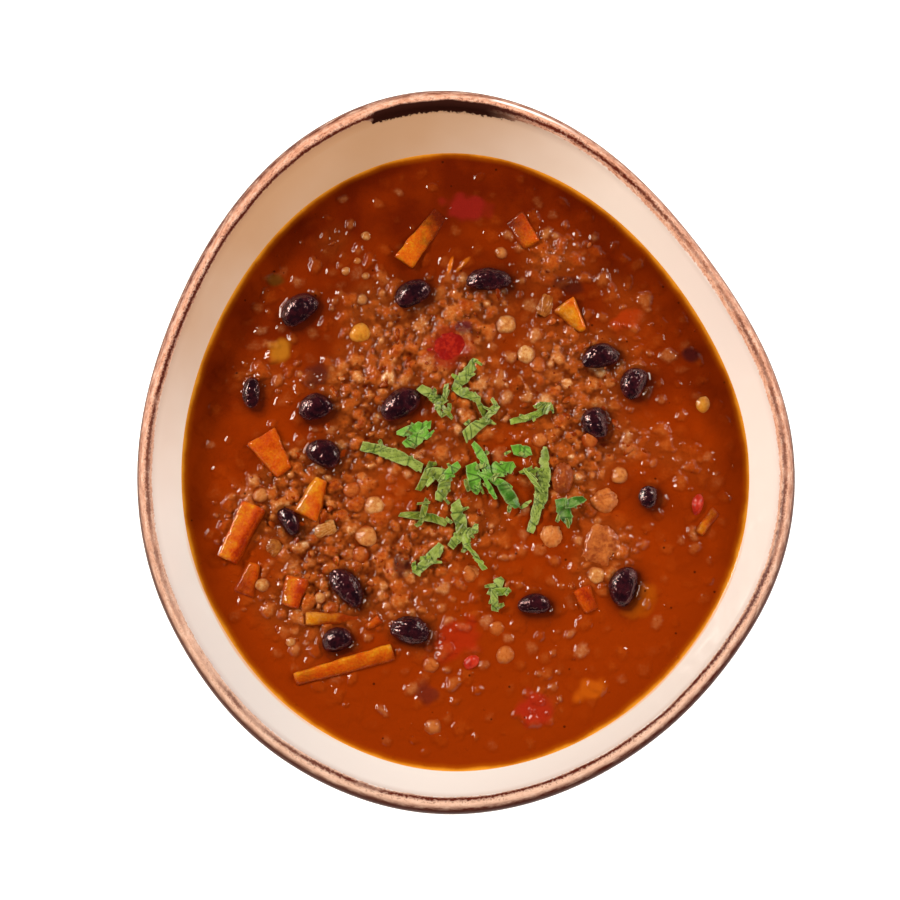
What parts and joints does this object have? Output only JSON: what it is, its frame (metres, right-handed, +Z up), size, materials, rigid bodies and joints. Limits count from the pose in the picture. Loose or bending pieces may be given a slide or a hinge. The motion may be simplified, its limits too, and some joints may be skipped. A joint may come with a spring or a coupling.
{
  "type": "bowl of harira",
  "caption": "Hand-shaped oval stoneware bowl with a painted brown rim, filled with thick lentil soup with black beans, carrot, tomato, chickpeas and chopped coriander.",
  "frame": {"origin": "middle of the bowl's outline seen from above, on the table under its foot", "axes": "+Z up out of the bowl, +Y along the oval's length towards the far side, where the painted rim is darkest, +X to the right of someone who looks along +Y"},
  "size_m": [0.214, 0.2394, 0.06],
  "materials": {
    "glaze": "glossy cream glaze with a brown painted band on the rim",
    "soup": "wet red-brown lentil and tomato broth with oil at its edge",
    "black_bean": "wet purple-black bean skin",
    "carrot": "wet cooked carrot",
    "tomato": "wet soft tomato",
    "chickpea": "soft cooked chickpea and pale bean in loose skin",
    "potato": "soft cooked potato",
    "onion": "soft translucent onion and celery",
    "coriander": "fresh chopped leaf"
  },
  "bodies": {
    "root": {"bowl": "glaze", "soup": "soup", "black_bean_01": "black_bean", "black_bean_02": "black_bean", "black_bean_03": "black_bean", "black_bean_04": "black_bean", "black_bean_05": "black_bean", "black_bean_06": "black_bean", "black_bean_07": "black_bean", "black_bean_08": "black_bean", "black_bean_09": "black_bean", "black_bean_10": "black_bean", "black_bean_11": "black_bean", "black_bean_12": "black_bean", "black_bean_13": "black_bean", "black_bean_14": "black_bean", "black_bean_15": "black_bean", "black_bean_16": "black_bean", "black_bean_17": "black_bean", "carrot_01": "carrot", "carrot_02": "carrot", "carrot_03": "carrot", "carrot_04": "carrot", "carrot_05": "carrot", "carrot_06": "carrot", "carrot_07": "carrot", "carrot_08": "carrot", "carrot_09": "carrot", "carrot_10": "carrot", "carrot_11": "carrot", "carrot_12": "carrot", "carrot_13": "carrot", "tomato_1": "tomato", "tomato_2": "tomato", "tomato_3": "tomato", "chickpea_1": "chickpea", "chickpea_2": "chickpea", "chickpea_3": "chickpea", "chickpea_4": "chickpea", "chickpea_5": "chickpea", "potato_1": "potato", "potato_2": "potato", "onion_1": "onion", "onion_2": "onion", "onion_3": "onion", "coriander_01": "coriander", "coriander_02": "coriander", "coriander_03": "coriander", "coriander_04": "coriander", "coriander_05": "coriander", "coriander_06": "coriander", "coriander_07": "coriander", "coriander_08": "coriander", "coriander_09": "coriander", "coriander_10": "coriander", "coriander_11": "coriander", "coriander_12": "coriander", "coriander_13": "coriander", "coriander_14": "coriander"}
  },
  "joints": []
}
